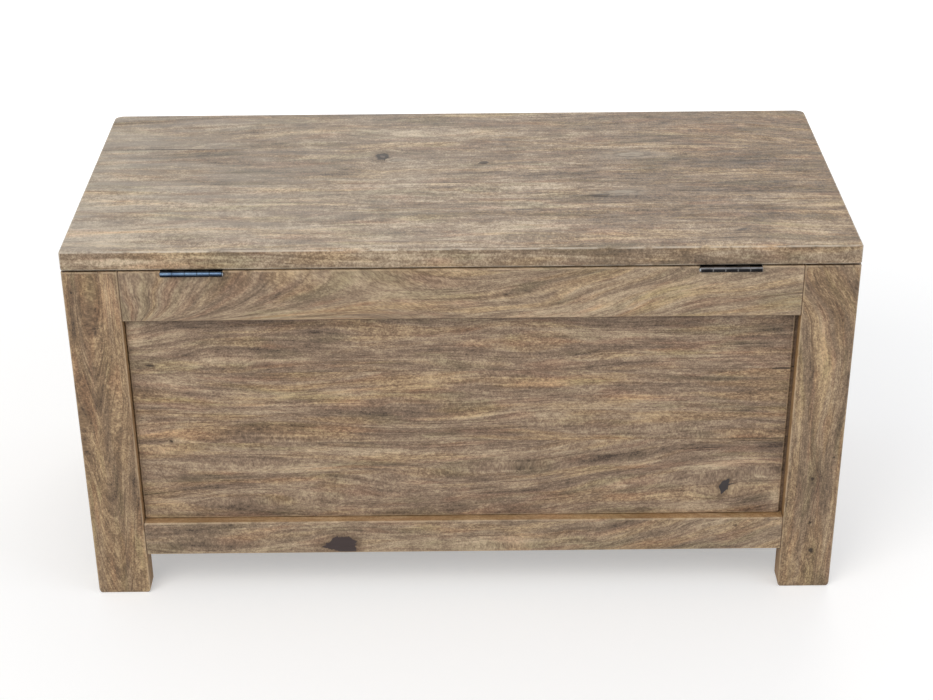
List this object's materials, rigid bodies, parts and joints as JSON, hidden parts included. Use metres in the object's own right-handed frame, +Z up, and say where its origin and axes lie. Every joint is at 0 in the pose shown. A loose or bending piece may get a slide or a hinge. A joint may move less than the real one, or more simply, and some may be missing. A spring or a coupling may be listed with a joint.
{
  "type": "mule chest",
  "caption": "Low wooden chest: a lift-up lid on butt hinges with a slotted stay over a deep well, inset drawers side by side below, panelled sides and L-shaped feet.",
  "frame": {"origin": "on the floor, under the middle of the chest's box, knobs and hinge barrels included", "axes": "+X along the width, to the right as the drawers are faced; +Y from the drawers to the hinged back; +Z up"},
  "size_m": [0.98, 0.4822, 0.507],
  "materials": {
    "lid_wood": "grey-brown stained hardwood, satin lacquer",
    "frame_wood": "grey-brown stained hardwood, low sheen",
    "panel_wood": "grey-brown stained hardwood, low sheen",
    "inside_wood": "planed bare hardwood",
    "plywood": "sanded bare plywood",
    "black_steel": "blackened glossy steel",
    "cast_iron": "matt black iron",
    "felt": "brown felt"
  },
  "bodies": {
    "carcass": {"front_left_leg": "frame_wood", "front_right_leg": "frame_wood", "back_left_leg": "frame_wood", "back_right_leg": "frame_wood", "front_left_side_post": "frame_wood", "front_right_side_post": "frame_wood", "back_left_side_post": "frame_wood", "back_right_side_post": "frame_wood", "back_top_rail": "frame_wood", "back_bottom_rail": "frame_wood", "front_top_rail": "frame_wood", "front_mid_rail": "frame_wood", "front_bottom_rail": "frame_wood", "left_top_rail": "frame_wood", "left_bottom_rail": "frame_wood", "right_top_rail": "frame_wood", "right_bottom_rail": "frame_wood", "drawer_divider": "frame_wood", "back_panel_board_1": "panel_wood", "back_panel_board_2": "panel_wood", "back_panel_board_3": "panel_wood", "front_panel": "panel_wood", "left_panel": "panel_wood", "right_panel": "panel_wood", "well_floor": "inside_wood", "left_kicker": "inside_wood", "centre_kicker": "inside_wood", "right_kicker": "inside_wood", "left_runner": "inside_wood", "centre_runner": "inside_wood", "right_runner": "inside_wood", "lid_pad_left": "felt", "lid_pad_right": "felt", "left_hinge_rail_leaf": "black_steel", "right_hinge_rail_leaf": "black_steel", "left_hinge_pin": "black_steel", "right_hinge_pin": "black_steel", "stay_stud_plate": "black_steel"},
    "lid": {"lid_board_1": "lid_wood", "lid_board_2": "lid_wood", "lid_board_3": "lid_wood", "lid_board_4": "lid_wood", "lid_batten_left": "inside_wood", "lid_batten_right": "inside_wood", "left_hinge_lid_leaf": "black_steel", "right_hinge_lid_leaf": "black_steel", "stay_lid_bracket": "black_steel"},
    "stay": {"stay_arm": "black_steel"},
    "left_drawer": {"left_drawer_front": "frame_wood", "left_drawer_left_side": "inside_wood", "left_drawer_right_side": "inside_wood", "left_drawer_back": "inside_wood", "left_drawer_bottom": "plywood", "left_drawer_knob": "cast_iron"},
    "right_drawer": {"right_drawer_front": "frame_wood", "right_drawer_left_side": "inside_wood", "right_drawer_right_side": "inside_wood", "right_drawer_back": "inside_wood", "right_drawer_bottom": "plywood", "right_drawer_knob": "cast_iron"}
  },
  "joints": [
    {"name": "lid_hinge", "type": "hinge", "parent": "carcass", "child": "lid", "pos_m": [0, 0.23745, 0.4778], "axis": [-1, 0, 0], "range_deg": [0, 95]},
    {"name": "stay_pivot", "type": "hinge", "parent": "lid", "child": "stay", "pos_m": [0.4556, 0.14783, 0.4695], "axis": [-1, 0, 0], "range_deg": [-47.5, 0]},
    {"name": "left_drawer_slide", "type": "slide", "parent": "carcass", "child": "left_drawer", "axis": [0, -1, 0], "range_m": [0, 0.26]},
    {"name": "right_drawer_slide", "type": "slide", "parent": "carcass", "child": "right_drawer", "axis": [0, -1, 0], "range_m": [0, 0.26]}
  ],
  "couplings": [
    {"joint": "stay_pivot", "follows": "lid_hinge", "ratio": -0.5}
  ]
}
